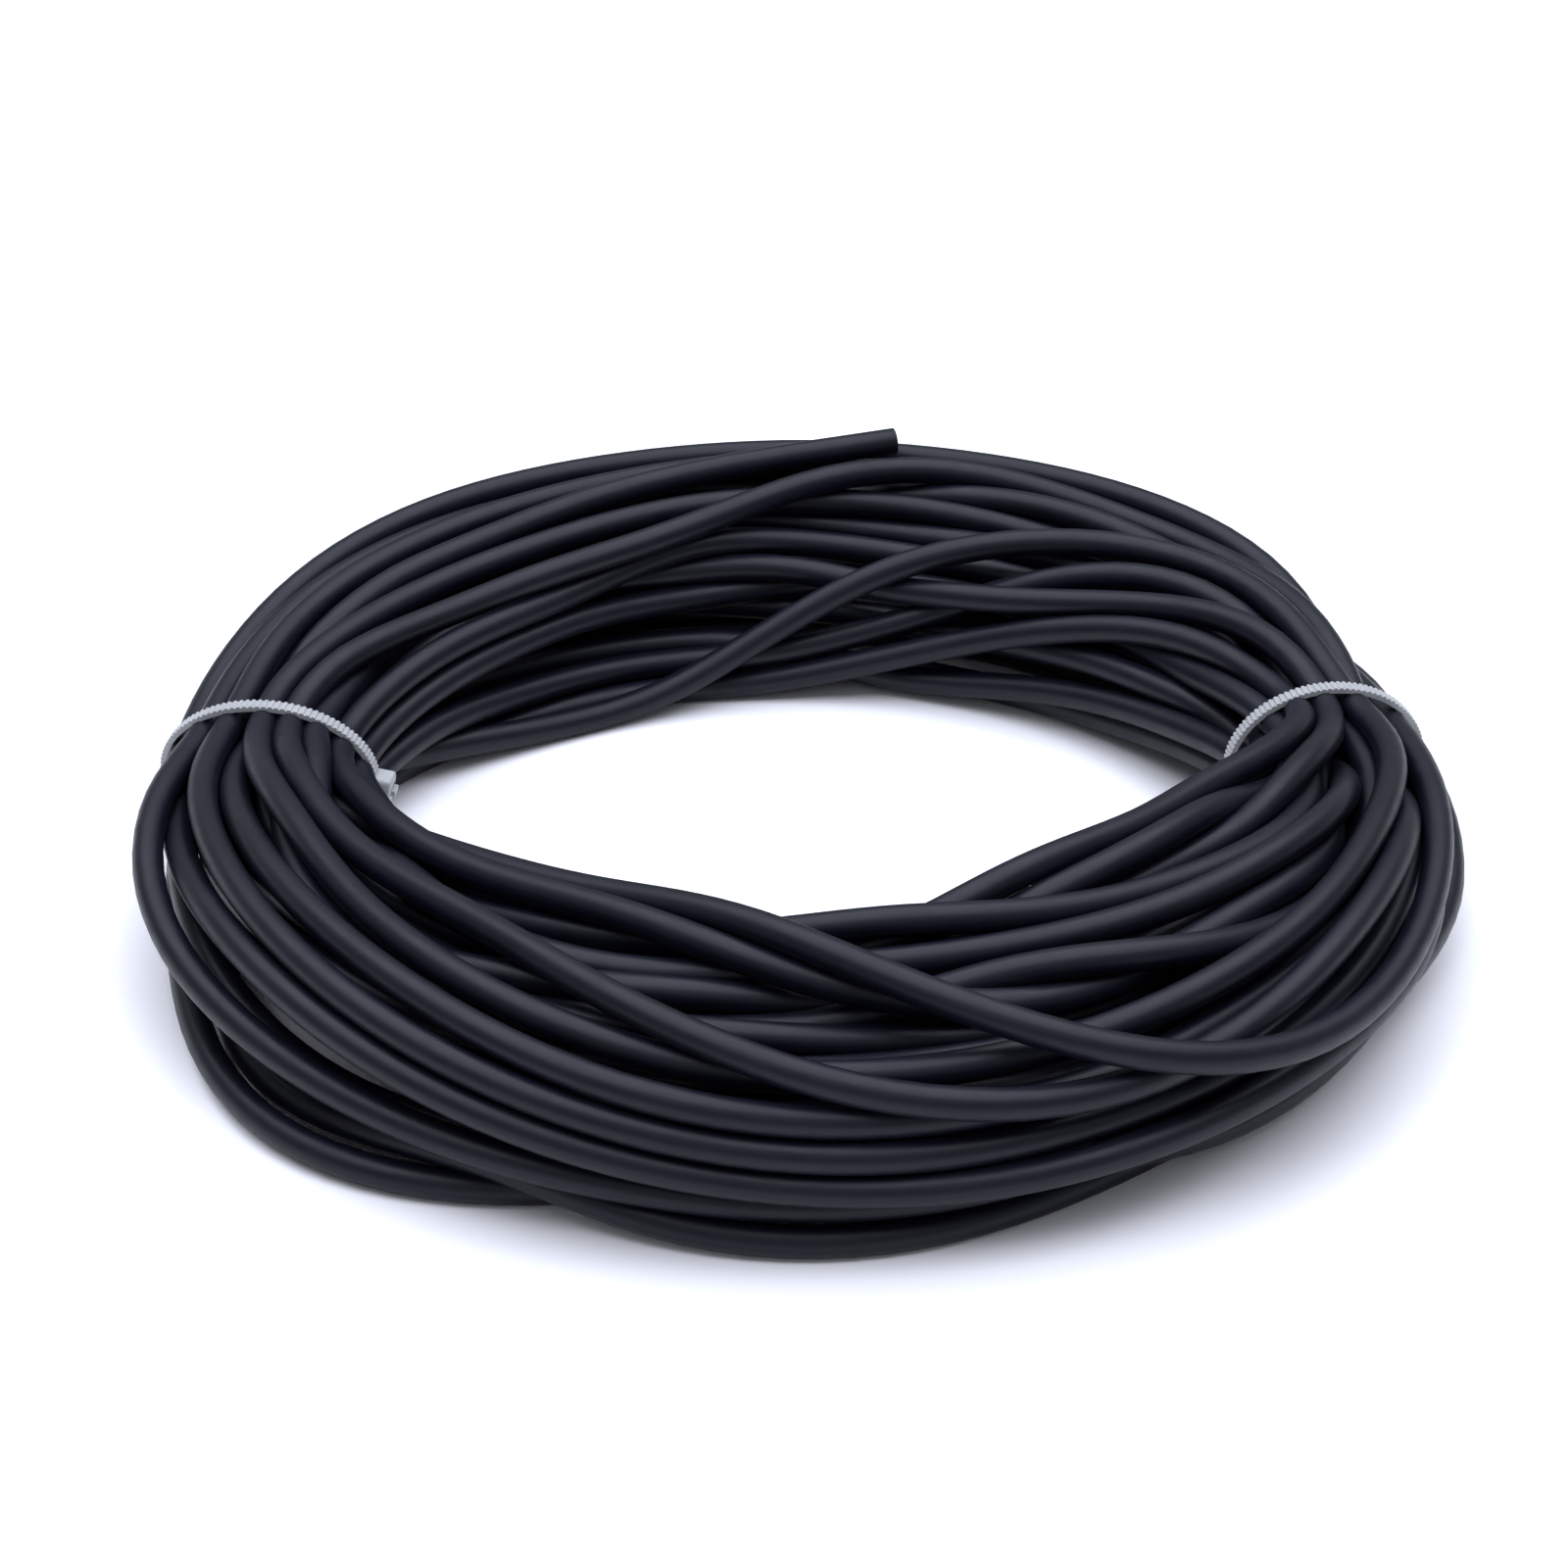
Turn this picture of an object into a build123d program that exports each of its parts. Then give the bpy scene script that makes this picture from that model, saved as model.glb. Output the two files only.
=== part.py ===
from build123d import *
import os
from math import atan2, cos, degrees, pi, radians, sin, tan

# A coil of soft rubber tube that lies flat, tied at its left and right sides by two cable ties.
# The origin is on the surface that the coil lies on, at the ring's centre. The ties lie near the
# X axis and the tube's free end lies on top of the coil at its +Y side.

# Tube
tube_diameter = 5.0
tube_bore = 2.0

# Coil: the two tied waists, and the wider middle of the front (-Y) and back (+Y) arcs between them
ring_outer_radius = 108.0
tie_angles = {"left": 173.0, "right": 8.5}
tied_radius = 90.5
front_inner_radius = 64.0
back_inner_radius = 63.0
front_height = 34.5
back_height = 33.5
coil_sink = 2.5  # how far a round section reaches below the surface before it is cut flat
section_squareness = 2.5  # exponent of the superellipse; 2 is an ellipse
section_points = 12
stations_per_arc = 11

# Cable ties: loop round the waist, strap, teeth and head
tie_loops = {"left": (17.8, 12.3), "right": (16.3, 13.4)}  # half width, half height
head_places = {"left": 186.0, "right": -32.0}  # degrees round the loop from its outermost point
strap_width = 2.5
strap_thickness = 1.0
strap_lift = 0.2
tooth_pitch = 0.92
tooth_depth = 0.25
waist_squeeze = 0.4  # how deep the strap lies in the coil
head_length = 5.0
head_width = 4.6
head_height = 3.4
head_edge = 0.5
head_gap = 0.1  # between the head's flat underside and the waist, where the strap runs through
slot_length = 1.6
slot_width = 3.0
slot_depth = 1.6
strap_end_proud = 0.7
pawl_height = 1.0
pawl_width = 1.5
from_waist = (Align.MIN, Align.CENTER, Align.CENTER)  # a head's pieces start at the waist

# The free end's route, from inside the coil to the cut end, chosen by hand
free_route = [
    (-57.0, 68.0, 29.5),
    (-39.0, 79.0, 32.3),
    (-21.0, 86.4, 34.0),
    (-2.5, 91.8, 35.2),
    (18.5, 96.4, 36.4),
]
run_share = 0.45


def tie_centre_height(side):
    """The height of a tie loop's centre, with its strap just clear of the surface."""
    return strap_lift + strap_thickness + tie_loops[side][1]


def mix(low, high, share):
    return low + (high - low) * share


def coil_face(angle, inner, outer, low, high):
    """A rounded section of the coil, in the upright plane at this angle round the ring."""
    middle = (inner + outer) / 2
    level = (low + high) / 2
    points = []
    for i in range(section_points):
        turn = 2 * pi * i / section_points
        across, up = cos(turn), sin(turn)
        reach = (abs(across) ** section_squareness + abs(up) ** section_squareness) ** (
            -1 / section_squareness
        )
        radius = middle + (outer - inner) / 2 * across * reach
        height = level + (high - low) / 2 * up * reach
        points.append((radius * cos(radians(angle)), radius * sin(radians(angle)), height))
    return make_face(Spline(points, periodic=True))


def coil_arc(start_side, end_side, sweep, inner_radius, height):
    """The coil from one tie to the other: narrow at both, and spread out between them."""
    faces = []
    for i in range(stations_per_arc):
        share = i / (stations_per_arc - 1)
        spread = sin(pi * share) ** 0.7 if 0 < share < 1 else 0.0
        half_width = mix(tie_loops[start_side][0], tie_loops[end_side][0], share) + waist_squeeze
        half_height = mix(tie_loops[start_side][1], tie_loops[end_side][1], share) + waist_squeeze
        level = mix(tie_centre_height(start_side), tie_centre_height(end_side), share)
        faces.append(
            coil_face(
                tie_angles[start_side] + sweep * share,
                mix(tied_radius - half_width, inner_radius, spread),
                mix(tied_radius + half_width, ring_outer_radius, spread),
                mix(level - half_height, -coil_sink, spread),
                mix(level + half_height, height, spread),
            )
        )
    return loft(faces)


def tie_plane(side):
    """The upright plane across the coil at a tie: x points outward, y up, at the loop's centre."""
    angle = radians(tie_angles[side])
    outward = Vector(cos(angle), sin(angle), 0)
    centre = outward * tied_radius + Vector(0, 0, tie_centre_height(side))
    return Plane(origin=centre, x_dir=outward, z_dir=outward.cross(Vector(0, 0, 1)))


def loop_outline(side, profile):
    """A closed outline round the waist that repeats a profile of (share of a pitch, offset)."""
    half_width, half_height = tie_loops[side]
    teeth = round(pi * (half_width + half_height + strap_thickness) / tooth_pitch)
    points = []
    for i in range(teeth):
        for share, offset in profile:
            turn = 2 * pi * (i + share) / teeth
            points.append(((half_width + offset) * cos(turn), (half_height + offset) * sin(turn)))
    return make_face(Polyline(points, close=True))


def waist_band(side, outer_profile):
    """What lies between the waist and an outline round it, as wide along the coil as the strap."""
    face = loop_outline(side, outer_profile) - loop_outline(side, [(0, 0)])
    return extrude(tie_plane(side) * face, strap_width / 2, both=True)


def head_frame(side):
    """Where the head sits: its x axis points away from the waist and its y axis along the strap."""
    half_width, half_height = tie_loops[side]
    place = radians(head_places[side])
    lean = degrees(atan2(sin(place) / half_height, cos(place) / half_width))
    spot = Pos(half_width * cos(place), half_height * sin(place))
    return tie_plane(side).location * spot * Rot(0, 0, lean) * Pos(head_gap, 0, 0)


def head_block():
    return Box(head_height, head_length, head_width, align=from_waist)


def tie_head():
    """The head, with the trimmed end of the strap standing out of its slot beside the pawl."""
    block = head_block()
    block = fillet(block.edges().filter_by(Axis.X), 2 * head_edge)
    block = fillet(block.edges().group_by(Axis.X)[-1], head_edge)
    slot = Box(slot_depth, slot_length, slot_width, align=from_waist)
    strap_end = Box(slot_depth + strap_end_proud, strap_thickness, strap_width, align=from_waist)
    pawl = Box(pawl_height, slot_length, pawl_width, align=from_waist)
    inside = Pos(head_height - slot_depth, 0, 0)
    beside = Pos(0, (slot_length - strap_thickness) / 2, 0)
    return block - inside * slot + inside * beside * strap_end + inside * pawl


def cable_tie(side):
    """One moulding: the toothed strap drawn round the waist, and its head outside it."""
    trough, crest = strap_thickness - tooth_depth, strap_thickness
    tooth = [(0.0, trough), (0.2, trough), (0.4, crest), (0.8, crest)]
    return waist_band(side, tooth) + head_frame(side) * tie_head()


def corner_radii(points):
    """Each corner's arc takes its share of the shorter run beside it."""
    radii = []
    for before, corner, after in zip(points, points[1:], points[2:]):
        first = Vector(*corner) - Vector(*before)
        second = Vector(*after) - Vector(*corner)
        half_turn = radians(first.get_angle(second)) / 2
        radii.append(run_share * min(first.length, second.length) / tan(half_turn))
    return radii


def tube_along(path, outer, inner):
    """A round tube along a path, or a rod if it has no bore."""
    section = Circle(outer / 2) - Circle(inner / 2) if inner else Circle(outer / 2)
    return sweep(Plane(origin=path @ 0, z_dir=path % 0) * section, path=path)


def save(name, solid):
    solid.label = name
    export_step(solid, f"parts/{name}.step")


os.makedirs("parts", exist_ok=True)

radii = corner_radii(free_route)
free_path = FilletPolyline(*free_route, radius=radii)
free_end = tube_along(free_path, tube_diameter, tube_bore)
section_area = pi / 4 * (tube_diameter**2 - tube_bore**2)
print("free end's radii:", [round(radius, 1) for radius in radii])
print("free end's length:", round(free_path.length, 1))
print("free end's volume:", round(free_end.volume, 1))
print("its section times its length:", round(section_area * free_path.length, 1))

ties = {side: cable_tie(side) for side in tie_angles}

back_sweep = tie_angles["left"] - tie_angles["right"]
coil = coil_arc("right", "left", back_sweep, back_inner_radius, back_height)
coil += coil_arc("left", "right", 360 - back_sweep, front_inner_radius, front_height)
span = 3 * ring_outer_radius
coil -= Box(span, span, span, align=(Align.CENTER, Align.CENTER, Align.MAX))
for side in tie_loops:
    coil -= waist_band(side, [(0, 3 * strap_thickness)])
    coil -= head_frame(side) * head_block()
coil -= tube_along(free_path, tube_diameter, 0)

save("tube_coil", coil)
save("tube_free_end", free_end)
for side, tie in ties.items():
    save(f"{side}_cable_tie", tie)
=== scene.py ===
from math import cos, pi, radians, sin, sqrt

import bpy
import numpy as np
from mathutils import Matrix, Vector


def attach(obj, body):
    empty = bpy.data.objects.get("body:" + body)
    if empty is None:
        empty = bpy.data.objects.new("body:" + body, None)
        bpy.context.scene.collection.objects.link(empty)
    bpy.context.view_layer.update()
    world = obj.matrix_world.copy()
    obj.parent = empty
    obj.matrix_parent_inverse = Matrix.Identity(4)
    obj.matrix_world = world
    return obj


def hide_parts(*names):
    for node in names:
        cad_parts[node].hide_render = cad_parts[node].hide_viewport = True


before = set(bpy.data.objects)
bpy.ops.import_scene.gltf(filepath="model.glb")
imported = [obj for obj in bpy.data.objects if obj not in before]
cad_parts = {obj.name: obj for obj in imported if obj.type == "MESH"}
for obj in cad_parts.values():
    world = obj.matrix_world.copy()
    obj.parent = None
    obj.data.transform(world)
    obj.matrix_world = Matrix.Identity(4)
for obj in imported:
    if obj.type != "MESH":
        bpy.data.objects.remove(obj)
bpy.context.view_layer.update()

# A coil of black rubber tube, tied at two places. The tube is one cord. Its turns start from
# listed strands where they show, and from one place each where they don't, and are relaxed
# against each other, the surface and the ties' loops. The ties keep their CAD shape. Places in the
# coil are (radius, height) round the ring, for the middle of a strand, in tube diameters.

# The tube, in metres
DIAMETER = 0.005
BORE = 0.002
FREE_BORE_DEPTH = 0.0128
# The rounding of the tube's cut edges
EDGE = 0.00025
RING_SIDES = 16

# From a strand's middle to its surface, in diameters
STRAND_RADIUS = 0.5

# The ties' loops, as the CAD has them: half width, half height and height of the middle
TIE_ANGLES = {"left": 173.0, "right": 8.5}
TIED_RADIUS = 18.1
TIE_LOOPS = {"left": (3.56, 2.46, 2.7), "right": (3.26, 2.68, 2.92)}

# The bundle between the ties: the bounds of its strands' middles, how quickly it spreads away from
# a tie, how square its section is, and the steps that each side is divided into
TURNS = 28
INNER_RADIUS = {"front": 13.3, "back": 13.2}
OUTER_RADIUS = 21.2
TOP = {"front": 6.3, "back": 6.2}
SPREADING = 0.7
SQUARENESS = 2.3
STEPS = {"front": 36, "back": 30}

# Strands that show, each from the left tie to the right one. A gate is an angle round the ring, a
# clock angle round the bundle's section (0 is outermost, 90 on top and 180 innermost) and how far
# out the strand is, where 1 is the bundle's outline.
FRONT_STRANDS = [
    # along the outer edge
    [(173, -5, 1), (190, 5, 1.15), (210, 0, 1.15), (230, -12, 1.05), (250, -35, 1.05), (290, -35, 1),
     (330, -15, 1), (368, 0, 1)],
    [(173, 20, 0.95), (210, 30, 0.95), (250, 0, 1), (290, -15, 1), (330, 0, 1.1), (368, 20, 1)],
    [(173, 50, 0.9), (210, 55, 0.95), (250, 15, 0.95), (290, 0, 0.9), (330, 5, 0.8), (368, 20, 0.75)],
    [(173, 75, 0.95), (210, 75, 0.95), (250, 40, 0.95), (270, 15, 0.95), (310, 30, 0.65), (368, 55, 0.6)],
    [(173, 90, 1), (210, 95, 0.95), (250, 65, 0.85), (290, 50, 0.75), (310, 60, 0.9), (368, 60, 1)],
    # sweeps over them from the top on the left to the outer edge on the right
    [(173, 110, 1), (210, 110, 1.05), (250, 85, 1.05), (270, 45, 1), (290, 20, 1.05), (330, 50, 1.05),
     (368, 35, 1)],
    # the inner edge on the left
    [(173, 135, 0.9), (210, 140, 1.2), (250, 130, 1.25), (280, 105, 0.75), (330, 80, 0.85), (368, 60, 0.7)],
    # crosses over the bundle from its inner edge to its outer one
    [(173, 160, 0.95), (225, 150, 1.3), (258, 125, 1.45), (280, 85, 1.3), (297, 35, 1.25), (312, 12, 1.25),
     (330, 12, 1.15), (368, 30, 0.75)],
    # come up to the top on the right
    [(173, 165, 0.65), (210, 140, 0.85), (255, 120, 0.85), (290, 125, 1), (310, 110, 1), (330, 90, 1),
     (368, 75, 0.9)],
    [(173, 190, 0.9), (240, 150, 1.1), (262, 140, 1.2), (290, 135, 1.25), (310, 130, 1.1), (350, 90, 1),
     (368, 85, 1)],
    [(173, 105, 0.55), (275, 110, 0.7), (293, 95, 0.9), (310, 80, 0.95), (330, 65, 0.6), (368, 80, 0.6)],
    # the inner edge on the right
    [(173, 200, 0.9), (250, 180, 0.95), (285, 150, 1.15), (303, 131, 1.3), (335, 128, 1.3),
     (350, 112, 1.15), (368, 80, 0.9)],
    [(173, 135, 0.6), (250, 150, 0.8), (272, 140, 0.95), (290, 135, 1.3), (330, 135, 1.5),
     (345, 125, 1.2), (368, 95, 1)],
    [(173, 160, 0.5), (250, 150, 0.6), (290, 140, 1), (315, 138, 1.2), (335, 132, 1.2), (350, 115, 1),
     (368, 95, 0.7)],
    # the inner wall
    [(173, 180, 0.9), (215, 158, 1.15), (250, 152, 1.2), (290, 150, 1.25), (330, 152, 1.35),
     (350, 145, 1.15), (368, 130, 0.9)],
    [(173, 215, 0.9), (215, 180, 1.1), (290, 175, 1.1), (330, 175, 1.2), (368, 170, 0.9)],
    # loose loop that lies on the surface, outside the others
    [(173, -35, 0.9), (190, -45, 0.95), (205, -42, 1.3), (220, -38, 1.5), (233, -37, 1.5), (252, -65, 1),
     (270, -85, 0.9), (368, -60, 0.8)],
    # along the bottom edge
    [(173, -55, 0.8), (200, -60, 1), (222, -44, 1.3), (250, -55, 1.15), (270, -45, 1.35), (290, -55, 1.2),
     (368, -35, 0.85)],
    [(173, -15, 0.6), (220, -48, 1), (250, -55, 0.85), (292, -45, 1.1), (340, -40, 1), (368, -20, 0.95)],
]
BACK_STRANDS = [
    # along the outer edge
    [(173, 5, 1), (150, 30, 1.25), (110, 50, 1.25), (70, 50, 1.25), (30, 35, 1.2), (8, 20, 1.05)],
    [(173, 30, 0.95), (150, 40, 1.1), (115, 55, 1), (90, 55, 0.85), (50, 75, 1), (30, 50, 0.8),
     (8, 30, 0.75)],
    [(173, 55, 1), (130, 60, 1.05), (90, 65, 1), (70, 50, 0.85), (8, 0, 0.95)],
    # on top
    [(173, 90, 1.1), (150, 95, 0.95), (110, 100, 0.95), (90, 90, 0.95), (75, 85, 0.8), (8, 70, 0.65)],
    # crosses over from the inner edge on the left to the outer edge on the right
    [(173, 105, 1), (150, 125, 0.95), (130, 135, 1), (110, 125, 1.05), (90, 100, 1.1), (70, 60, 1.15),
     (50, 50, 1.05), (8, 50, 0.95)],
    # the inner edge on the left
    [(173, 135, 0.95), (135, 145, 0.95), (110, 140, 0.75), (80, 130, 0.5), (8, 120, 0.65)],
    [(173, 160, 0.95), (135, 170, 0.9), (105, 175, 0.55), (75, 175, 0.5), (8, 145, 0.85)],
    # climb from the surface to the top on the right, over the others
    [(173, 210, 0.95), (150, 215, 1.25), (125, 220, 1.55), (95, 195, 1.1), (82, 170, 0.95), (70, 140, 0.95),
     (58, 110, 1), (45, 85, 1.05), (8, 65, 1)],
    [(173, 185, 0.95), (130, 215, 1.1), (105, 215, 1.1), (85, 200, 1.1), (70, 175, 0.9), (50, 125, 0.85),
     (30, 80, 1.05), (8, 70, 1.1)],
    [(173, 145, 0.55), (90, 160, 0.65), (60, 165, 0.9), (50, 155, 0.9), (30, 100, 0.9), (8, 85, 1.05)],
    [(173, 235, 1), (140, 230, 1.3), (92, 215, 1.4), (70, 200, 1.15), (50, 170, 0.95), (30, 130, 0.9),
     (8, 100, 0.95)],
    # the inner edge on the right, down to the surface
    [(173, 105, 0.45), (100, 190, 0.5), (43, 180, 0.9), (8, 145, 0.75)],
    [(173, 195, 0.6), (120, 225, 0.8), (75, 225, 1.3), (50, 215, 1.15), (8, 175, 0.9)],
    [(173, 250, 0.75), (120, 235, 1.15), (70, 230, 1.25), (30, 215, 1.1), (8, 195, 1)],
    # the last stretch, from the left tie to where the free end's route begins
    [(173, 75, 1.05), (130, 85, 1), (8, 85, 1)],
]
LISTED = {"front": FRONT_STRANDS, "back": BACK_STRANDS}

# Where the strands that don't show pass the middle of each side, as (clock angle, how far out):
# those in the walls that the listed ones leave open, those round the core, and on the back, last,
# the one that starts at the hidden end
WALL_REACH = 0.95
CORE_REACH = 0.6
HIDDEN = {
    "front": [(clock, WALL_REACH) for clock in (240, 275)]
    + [(clock, CORE_REACH) for clock in range(55, 300, 35)],
    "back": [(clock, WALL_REACH) for clock in (10, -15, -40, -65, -95)]
    + [(clock, CORE_REACH) for clock in range(-95, 105, 25)]
    + [(0, 0)],
}

# How much sooner a listed strand chooses its slot at a tie than a hidden one, and the share of its
# side along which it is led into that slot
LISTED_PULL = 3
LEAD_IN = 0.19

# The free end's route in metres, as the CAD's tube has it
FREE_ROUTE = [
    (-0.057, 0.068, 0.0295),
    (-0.039, 0.079, 0.0323),
    (-0.021, 0.0864, 0.034),
    (-0.0025, 0.0918, 0.0352),
    (0.0185, 0.0964, 0.0364),
]
# The steps from the left tie at which the coil's last strand gives way to that route and at which
# the tube's hidden end lies
LAST_STEP = 7
HIDDEN_STEP = 15

# The settling of the turns: how strongly a strand holds its starting place, and how much more a
# listed one does; how stiff the tube is; how far apart the turns are pushed, in diameters, and the
# share of what is missing that one push makes good; and a distance at which turns don't meet
ITERATIONS = 600
HOLD = 0.03
LISTED_HOLD = 0.25
STIFFNESS = 0.3
CLEARANCE = 1.02
EASE = 0.4
APART = 9.0


# The turns' starting places


def mix(low, high, share):
    return low + (high - low) * share


def bundle(side, share):
    """Middle radius, middle height, half width and half height of the bundle, where share runs
    from the left tie to the right one."""
    spread = np.sin(pi * np.clip(share, 0, 1)) ** SPREADING
    half, rise, level = (mix(left, right, share) for left, right in zip(*TIE_LOOPS.values()))
    half, rise = half - STRAND_RADIUS, rise - STRAND_RADIUS
    inner = mix(TIED_RADIUS - half, INNER_RADIUS[side], spread)
    outer = mix(TIED_RADIUS + half, OUTER_RADIUS, spread)
    low = mix(level - rise, STRAND_RADIUS, spread)
    high = mix(level + rise, TOP[side], spread)
    return (inner + outer) / 2, (low + high) / 2, (outer - inner) / 2, (high - low) / 2


def shares(side):
    """How far each step is from the left tie to the right one."""
    return np.linspace(0, 1, STEPS[side] + 1)


def angles(side):
    """The angle round the ring of each step, in degrees."""
    end = TIE_ANGLES["right"] + (360 if side == "front" else 0)
    return mix(TIE_ANGLES["left"], end, shares(side))


def outward():
    """The unit vector away from the ring's middle at each step of a whole turn."""
    turn = np.radians(np.concatenate([angles("front")[:0:-1], angles("back")[:-1]]))
    return np.stack([np.cos(turn), np.sin(turn)], -1)


def from_units(side, units):
    """(radius, height) at each step from places in units of the bundle's half sizes."""
    middle, level, half, rise = bundle(side, shares(side))
    return np.stack([middle + half * units[..., 0], level + rise * units[..., 1]], -1)


def smooth_through(xs, ys, at):
    """Smooth interpolation through points given at rising or falling xs."""
    xs, ys = np.asarray(xs, float), np.asarray(ys, float)
    if xs[0] > xs[-1]:
        xs, at = -xs, -at
    gaps = np.diff(xs)
    rises = np.diff(ys) / gaps
    between = (rises[:-1] * gaps[1:] + rises[1:] * gaps[:-1]) / (gaps[1:] + gaps[:-1])
    slopes = np.concatenate([rises[:1], between, rises[-1:]])
    i = np.clip(np.searchsorted(xs, at) - 1, 0, len(gaps) - 1)
    t = np.clip((at - xs[i]) / gaps[i], 0, 1)
    start, end = ys[i] + slopes[i] * gaps[i] * t, ys[i + 1] + slopes[i + 1] * gaps[i] * (t - 1)
    return mix(start, end, t * t * (3 - 2 * t))


def in_units(clock, reach):
    """The place at a clock angle round the section, in units of its half sizes."""
    turn = np.radians(clock)
    outline = [np.sign(c) * np.abs(c) ** (2 / SQUARENESS) for c in (np.cos(turn), np.sin(turn))]
    return np.stack([reach * along for along in outline], -1)


def listed_strand(side, gates):
    """A listed strand's place in units at each step."""
    at, clocks, reaches = zip(*gates)
    return in_units(smooth_through(at, clocks, angles(side)), smooth_through(at, reaches, angles(side)))


def even_places(count):
    """Places spread evenly over the unit disc, along a spiral."""
    k = np.arange(count)
    turn = k * pi * (3 - sqrt(5))
    return np.sqrt((k + 0.5) / count)[:, None] * np.stack([np.cos(turn), np.sin(turn)], -1)


def partners(places, spots, pull):
    """The number of a spot of its own for each place, nearest pairs first. Pull makes a place's
    distances count for less, so that it chooses sooner."""
    apart = np.array(places)[:, None] - np.array(spots)[None]
    gaps = np.linalg.norm(apart, axis=-1) / np.array(pull)[:, None]
    found = {}
    for flat in np.argsort(gaps, axis=None, kind="stable"):
        i, j = divmod(int(flat), len(spots))
        if i not in found and j not in found.values():
            found[i] = j
    return [found[i] for i in range(len(places))]


def weave():
    """The strands of each side in units, and the slot that each takes at each tie, None where it
    isn't there. The back's last listed strand leads to the free end and doesn't reach the right
    tie, and its last strand starts at the hidden end, after the left one."""
    slots = even_places(TURNS)
    strands, ends = {}, {}
    for side, listed in LISTED.items():
        shown = [listed_strand(side, gates) for gates in listed]
        hidden = [in_units(clock, reach) for clock, reach in HIDDEN[side]]
        absent = {("back", "left"): len(shown) + len(hidden) - 1, ("back", "right"): len(shown) - 1}
        for tie, step in (("left", 0), ("right", -1)):
            wanted = [s[step] for s in shown] + hidden
            there = [k for k in range(len(wanted)) if k != absent.get((side, tie))]
            pull = [LISTED_PULL if k < len(shown) else 1 for k in there]
            ends[side, tie] = [None] * len(wanted)
            for k, slot in zip(there, partners([wanted[k] for k in there], slots, pull)):
                ends[side, tie][k] = slot
        strands[side] = shown + hidden
    link(slots, ends)
    for side in LISTED:
        for k, strand in enumerate(strands[side]):
            taken = (ends[side, tie][k] for tie in TIE_ANGLES)
            left, right = (None if slot is None else slots[slot] for slot in taken)
            strands[side][k] = to_slots(side, strand, left, right)
    return strands, ends


def to_slots(side, strand, left, right):
    """The strand in units at each step, led into its slots at the ties."""
    share = shares(side)
    if strand.ndim == 1:
        stops = np.stack([strand if left is None else left, strand, strand if right is None else right])
        return np.stack([smooth_through([0, 0.5, 1], stops[:, axis], share) for axis in (0, 1)], -1)
    for slot, end, away in ((left, strand[0], share), (right, strand[-1], 1 - share)):
        if slot is not None:
            strand = strand + (slot - end) * (np.clip(1 - away / LEAD_IN, 0, 1) ** 2)[:, None]
    return strand


def follow(ends):
    """The (front, back) strands that the tube takes in turn, from its hidden end to its free one."""
    order, back = [], len(ends["back", "right"]) - 1
    while ends["back", "right"][back] is not None:
        front = ends["front", "right"].index(ends["back", "right"][back])
        back = ends["back", "left"].index(ends["front", "left"][front])
        order.append((front, back))
    return order


def link(slots, ends):
    """Swaps slots between front strands at the left tie until the tube takes every strand. Listed
    ones are swapped only where no hidden one is near."""
    left = ends["front", "left"]
    while len(order := follow(ends)) < TURNS:
        on = [front for front, _ in order]
        off = [front for front in range(TURNS) if front not in on]
        gap = {(i, j): np.linalg.norm(slots[left[i]] - slots[left[j]])
               + (i < len(FRONT_STRANDS)) + (j < len(FRONT_STRANDS)) for i in on for j in off}
        i, j = min(gap, key=gap.get)
        left[i], left[j] = left[j], left[i]


def start_chain():
    """The whole tube as (turn, step, radius or height), and which of its places are listed ones. A
    turn runs from the right tie along the front and back to it."""
    strands, ends = weave()
    order = follow(ends)
    places = {side: [from_units(side, s) for s in strands[side]] for side in LISTED}
    steps = STEPS["front"] + STEPS["back"]
    chain = np.zeros((TURNS + 1, steps, 2))
    keep = np.zeros((TURNS + 1, steps))
    front_steps, back_steps = np.s_[: STEPS["front"]], np.s_[STEPS["front"] :]
    chain[0, back_steps] = places["back"][-1][:-1]
    for turn, (front, back) in enumerate(order, 1):
        chain[turn, front_steps] = places["front"][front][:0:-1]
        chain[turn, back_steps] = places["back"][back][:-1]
        keep[turn, front_steps] = front < len(FRONT_STRANDS)
        keep[turn, back_steps] = back < len(BACK_STRANDS)
    return chain, keep


def route_places():
    """(radius, height) of the free end's route at the back's steps that it passes, from LAST_STEP on."""
    route = np.array(FREE_ROUTE) / DIAMETER
    at = np.degrees(np.arctan2(route[:, 1], route[:, 0]))
    passed = [a for a in angles("back")[LAST_STEP:] if a > at[-1]]
    radius = np.hypot(route[:, 0], route[:, 1])
    return np.stack([smooth_through(at, values, np.array(passed)) for values in (radius, route[:, 2])], -1)


# Settling


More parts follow.
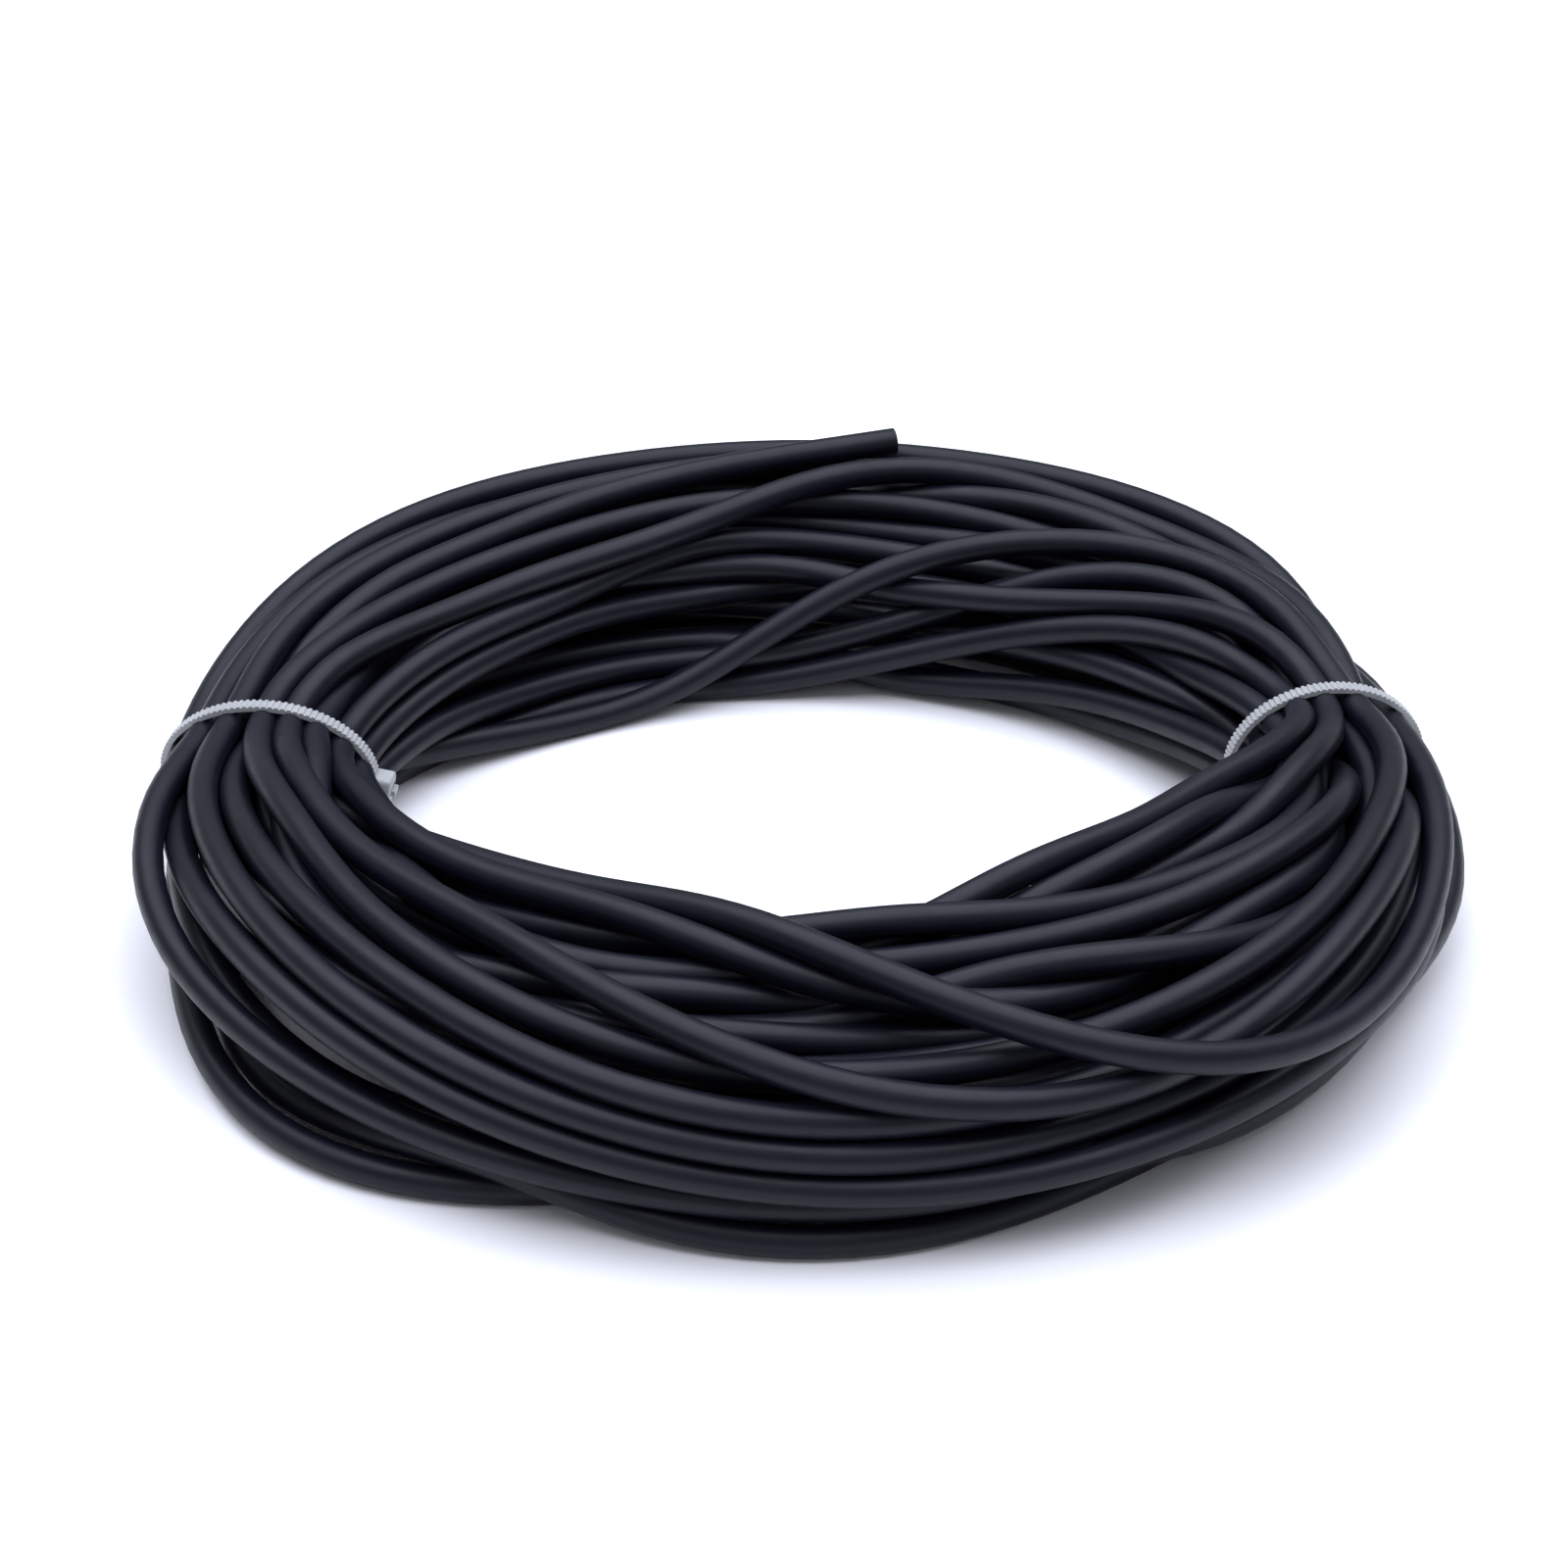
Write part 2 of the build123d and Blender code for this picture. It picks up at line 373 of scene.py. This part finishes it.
def relax(chain, keep, there, fixed):
    """Settles the tube: each place stays near where it started, the line bends evenly, and turns
    keep clear of each other, of the surface and of the ties' loops."""
    out = outward()
    start = chain.copy()
    movable = (there & ~fixed)[..., None]
    ends = there & ~(shifted(there, 1) & shifted(there, -1))
    for k in range(ITERATIONS):
        fading = 1 - k / ITERATIONS
        chain = chain + movable * (HOLD + LISTED_HOLD * keep[..., None]) * fading * (start - chain)
        bend = (shifted(chain, 1) + shifted(chain, -1)) / 2 - chain
        bend[ends] = 0
        chain = chain + movable * STIFFNESS * (bend - (shifted(bend, 1) + shifted(bend, -1)) / 2)
        chain = chain + movable * clear_of_others(chain, there, out)
        chain[..., 1] = np.maximum(chain[..., 1], STRAND_RADIUS)
        for step, tie in ((0, "right"), (STEPS["front"], "left")):
            half, rise, level = TIE_LOOPS[tie]
            size = np.array([half - STRAND_RADIUS, rise - STRAND_RADIUS])
            off = (chain[:, step] - (TIED_RADIUS, level)) / size
            reach = np.maximum(np.linalg.norm(off, axis=-1, keepdims=True), 1)
            chain[:, step] = off / reach * size + (TIED_RADIUS, level)
    return chain


def shifted(values, by):
    """The values of the next (1) or the previous (-1) place along the tube."""
    return np.roll(values.reshape(-1, *values.shape[2:]), -by, axis=0).reshape(values.shape)


def clear_of_others(chain, there, out):
    """How far each place moves, to be clear of the runs of the other turns beside it."""
    points = np.concatenate([chain[..., :1] * out, chain[..., 1:]], -1)
    nearest = np.full((len(chain), *chain.shape[:2]), APART)
    push = np.zeros((*nearest.shape, 3))
    for way in (1, -1):
        run = shifted(points, way) - points
        whole = there & shifted(there, way)
        from_start = points[:, None] - points[None]
        along = np.clip((from_start * run).sum(-1) / np.maximum((run**2).sum(-1), 1e-9), 0, 1)
        away = from_start - along[..., None] * run
        gap = np.linalg.norm(away, axis=-1)
        closer = (gap < nearest) & whole[None] & there[:, None]
        push = np.where(closer[..., None], away / np.maximum(gap, 1e-6)[..., None], push)
        nearest = np.where(closer, gap, nearest)
    nearest[np.arange(len(chain)), np.arange(len(chain))] = APART
    move = (np.clip(CLEARANCE - nearest, 0, None)[..., None] * push).sum(1) * EASE
    return np.stack([(move[..., :2] * out).sum(-1), move[..., 2]], -1)


def settled_turns():
    """The coil's places in metres, from the hidden end to where the free end's route begins."""
    chain, keep = start_chain()
    there = np.ones(keep.shape, bool)
    there[0, : STEPS["front"] + HIDDEN_STEP] = False
    fixed = np.zeros(keep.shape, bool)
    route, begin = route_places(), STEPS["front"] + LAST_STEP
    chain[-1, begin : begin + len(route)] = route
    fixed[-1, begin : begin + len(route)] = True
    there[-1, begin + len(route) :] = False
    chain = relax(chain, keep, there, fixed)
    points = np.concatenate([chain[..., :1] * outward(), chain[..., 1:]], -1) * DIAMETER
    return points.reshape(-1, 3)[(there & ~fixed).ravel()]


# The tube's line and mesh


def route_line(points):
    """The points of the smooth NURBS line that has these as its control points."""
    data = bpy.data.curves.new("tube_route", "CURVE")
    data.dimensions = "3D"
    data.resolution_u = 2
    spline = data.splines.new("NURBS")
    spline.points.add(len(points) - 1)
    for point, place in zip(spline.points, points):
        point.co = (*place, 1)
    spline.order_u = 3
    spline.use_endpoint_u = True
    curve = bpy.data.objects.new("tube_route", data)
    line = bpy.data.meshes.new_from_object(curve)
    places = np.array([v.co for v in line.vertices])
    bpy.data.objects.remove(curve)
    bpy.data.curves.remove(data)
    bpy.data.meshes.remove(line)
    return places


def frames_along(line):
    """The line's direction at each of its points, and two unit vectors across it there, which
    don't twist along it."""
    forward = np.gradient(line, axis=0)
    forward /= np.linalg.norm(forward, axis=1, keepdims=True)
    across = np.zeros_like(line)
    side = np.array([0.0, 0.0, 1.0])
    for k, way in enumerate(forward):
        side = side - way * (side @ way)
        side /= np.linalg.norm(side)
        across[k] = side
    return forward, across, np.cross(forward, across)


def end_rings(run, at_end, step, depth):
    """(point of the line, shift along it, radius) of the rings from the bore's bottom to the outer
    wall. Run is each point's distance along the line, and step is 1 where it starts and -1 where
    it ends."""
    wall, bore = DIAMETER / 2, BORE / 2
    reach = np.abs(run - run[at_end])
    inside = [k for k in range(len(run)) if 0 < reach[k] < depth]
    cut = [(step * EDGE / 2, bore), (0, bore + EDGE / 2), (0, wall - EDGE)]
    cut += [(step * EDGE * 0.3, wall - EDGE * 0.3), (step * EDGE, wall)]
    return [(k, 0, bore) for k in inside[::-step]] + [(at_end, *place) for place in cut]


def tube_mesh(name, line, depths):
    """A tube along the line, cut square at both ends and hollow there to the given depths."""
    forward, first, second = frames_along(line)
    run = np.concatenate([[0], np.cumsum(np.linalg.norm(np.diff(line, axis=0), axis=1))])
    last = len(line) - 1
    rings = end_rings(run, 0, 1, depths[0]) + [(k, 0, DIAMETER / 2) for k in range(1, last)]
    rings += reversed(end_rings(run, last, -1, depths[1]))
    turn = np.arange(RING_SIDES) * 2 * pi / RING_SIDES
    vertices = [
        line[k] + forward[k] * shift + radius * (cos(a) * first[k] + sin(a) * second[k])
        for k, shift, radius in rings
        for a in turn
    ]
    faces = []
    for ring in range(len(rings) - 1):
        for k in range(RING_SIDES):
            here, beside = ring * RING_SIDES + k, ring * RING_SIDES + (k + 1) % RING_SIDES
            faces.append((here, beside, beside + RING_SIDES, here + RING_SIDES))
    end = (len(rings) - 1) * RING_SIDES
    faces += [tuple(range(RING_SIDES))[::-1], tuple(range(end, end + RING_SIDES))]
    mesh = bpy.data.meshes.new(name)
    mesh.from_pydata([tuple(v) for v in vertices], [], faces)
    mesh.validate()
    mesh.shade_smooth()
    mesh.set_sharp_from_angle(angle=radians(50))
    return mesh


# Materials


def new_material(name):
    """A node material with its shader and the piece's own coordinates."""
    material = bpy.data.materials.new(name)
    material.use_nodes = True
    nodes, links = material.node_tree.nodes, material.node_tree.links
    return material, nodes, links, nodes["Principled BSDF"], nodes.new("ShaderNodeTexCoord").outputs["Object"]


def noise(nodes, links, place, scale, detail=4.0, stretch=(1, 1, 1)):
    mapping = nodes.new("ShaderNodeMapping")
    mapping.inputs["Scale"].default_value = stretch
    links.new(place, mapping.inputs["Vector"])
    texture = nodes.new("ShaderNodeTexNoise")
    texture.inputs["Scale"].default_value = scale
    texture.inputs["Detail"].default_value = detail
    links.new(mapping.outputs["Vector"], texture.inputs["Vector"])
    return texture.outputs["Fac"]


def spread_between(nodes, links, value, low, high):
    """Maps a noise value to run between two numbers."""
    ramp = nodes.new("ShaderNodeMapRange")
    ramp.inputs["From Min"].default_value = 0.3
    ramp.inputs["From Max"].default_value = 0.7
    ramp.inputs["To Min"].default_value = low
    ramp.inputs["To Max"].default_value = high
    links.new(value, ramp.inputs["Value"])
    return ramp.outputs["Result"]


def tint_between(nodes, links, value, low, high):
    """Maps a noise value to run between two colours."""
    ramp = nodes.new("ShaderNodeValToRGB")
    ramp.color_ramp.elements[0].position = 0.35
    ramp.color_ramp.elements[0].color = (*low, 1)
    ramp.color_ramp.elements[1].position = 0.65
    ramp.color_ramp.elements[1].color = (*high, 1)
    links.new(value, ramp.inputs["Fac"])
    return ramp.outputs["Color"]


def bumpy(nodes, links, shader, heights):
    """Bumps, one on the other, from (value, strength, distance)."""
    normal = None
    for value, strength, distance in heights:
        bump = nodes.new("ShaderNodeBump")
        bump.inputs["Strength"].default_value = strength
        bump.inputs["Distance"].default_value = distance
        links.new(value, bump.inputs["Height"])
        if normal:
            links.new(normal, bump.inputs["Normal"])
        normal = bump.outputs["Normal"]
    links.new(normal, shader.inputs["Normal"])


def tube_rubber():
    """Satin black rubber: slightly uneven gloss, a fine grain and a faint bloom."""
    material, nodes, links, shader, place = new_material("tube_rubber")
    patches = noise(nodes, links, place, scale=60)
    grain = noise(nodes, links, place, scale=2200, detail=2)
    tint = tint_between(nodes, links, patches, (0.0019, 0.0024, 0.0066), (0.0033, 0.0041, 0.0100))
    links.new(tint, shader.inputs["Base Color"])
    gloss = spread_between(nodes, links, noise(nodes, links, place, scale=240), 0.4, 0.48)
    links.new(gloss, shader.inputs["Roughness"])
    shader.inputs["Specular IOR Level"].default_value = 0.27
    bumpy(nodes, links, shader, [(patches, 0.15, 0.0004), (grain, 0.12, 0.00003)])
    return material


def tie_nylon():
    """Milky nylon: lets a little light in, with a faint flow pattern from moulding."""
    material, nodes, links, shader, place = new_material("tie_nylon")
    flow = noise(nodes, links, place, scale=180, stretch=(1, 1, 3))
    tint = tint_between(nodes, links, flow, (0.335, 0.345, 0.345), (0.375, 0.385, 0.385))
    links.new(tint, shader.inputs["Base Color"])
    gloss = spread_between(nodes, links, noise(nodes, links, place, scale=900), 0.38, 0.5)
    links.new(gloss, shader.inputs["Roughness"])
    shader.inputs["Subsurface Weight"].default_value = 0.25
    shader.inputs["Subsurface Radius"].default_value = (0.6, 0.65, 0.7)
    shader.inputs["Subsurface Scale"].default_value = 0.0008
    bumpy(nodes, links, shader, [(flow, 0.1, 0.0001)])
    return material


def floor_paint():
    """Matt white paint, faintly uneven."""
    material, nodes, links, shader, place = new_material("floor")
    clouds = noise(nodes, links, place, scale=3)
    tint = tint_between(nodes, links, clouds, (0.92, 0.92, 0.92), (0.94, 0.94, 0.94))
    links.new(tint, shader.inputs["Base Color"])
    shader.inputs["Roughness"].default_value = 0.7
    return material


# The tube: one cord from its hidden end, inside the coil, to its free end on top

turns = settled_turns()
line = route_line(np.concatenate([turns, FREE_ROUTE]))
tube = bpy.data.objects.new("tube", tube_mesh("tube", line, (FREE_BORE_DEPTH, FREE_BORE_DEPTH)))
bpy.context.scene.collection.objects.link(tube)
tube.data.materials.append(tube_rubber())
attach(tube, "root")
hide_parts("tube_coil", "tube_free_end")

# The ties keep their CAD shape
nylon = tie_nylon()
for node in ("left_cable_tie", "right_cable_tie"):
    tie = bpy.data.objects[node]
    tie.data.materials.clear()
    tie.data.materials.append(nylon)


# The floor, the lights and the camera


def point_at(obj, place, aim):
    obj.location = place
    obj.rotation_euler = (Vector(aim) - Vector(place)).to_track_quat("-Z", "Y").to_euler()


def area_light(name, place, size, power, colour):
    """A rectangular light that faces the ring's middle."""
    data = bpy.data.lights.new(name, "AREA")
    data.shape = "RECTANGLE"
    data.size, data.size_y = size
    data.energy = power
    data.color = colour
    light = bpy.data.objects.new(name, data)
    bpy.context.scene.collection.objects.link(light)
    point_at(light, place, (0, 0, 0))


FLOOR_REACH = 6
corners = [(FLOOR_REACH * x, FLOOR_REACH * y, 0) for x, y in ((-1, -1), (1, -1), (1, 1), (-1, 1))]
floor_mesh = bpy.data.meshes.new("floor")
floor_mesh.from_pydata(corners, [], [(0, 1, 2, 3)])
floor = bpy.data.objects.new("floor", floor_mesh)
bpy.context.scene.collection.objects.link(floor)
floor_mesh.materials.append(floor_paint())

LIGHT_COLOUR = (0.83, 0.86, 1.0)
area_light("top", place=(0.0, 0.1, 0.9), size=(1.7, 1.4), power=25, colour=LIGHT_COLOUR)
area_light("front", place=(0.0, -1.3, 0.9), size=(1.4, 0.6), power=1.2, colour=LIGHT_COLOUR)
world = bpy.data.worlds.new("studio")
world.use_nodes = True
world.node_tree.nodes["Background"].inputs["Color"].default_value = (0.92, 0.95, 1.0, 1)
world.node_tree.nodes["Background"].inputs["Strength"].default_value = 0.32
bpy.context.scene.world = world

CAMERA_DISTANCE = 0.575
CAMERA_ELEVATION = radians(30)
AIM = (-0.00245, 0.0, 0.0175)
lens = bpy.data.cameras.new("camera")
lens.lens = 79.2
lens.sensor_width = 36
camera = bpy.data.objects.new("camera", lens)
bpy.context.scene.collection.objects.link(camera)
backward, upward = CAMERA_DISTANCE * cos(CAMERA_ELEVATION), CAMERA_DISTANCE * sin(CAMERA_ELEVATION)
point_at(camera, (AIM[0], AIM[1] - backward, AIM[2] + upward), AIM)
bpy.context.scene.camera = camera
bpy.context.scene.view_settings.view_transform = "Standard"
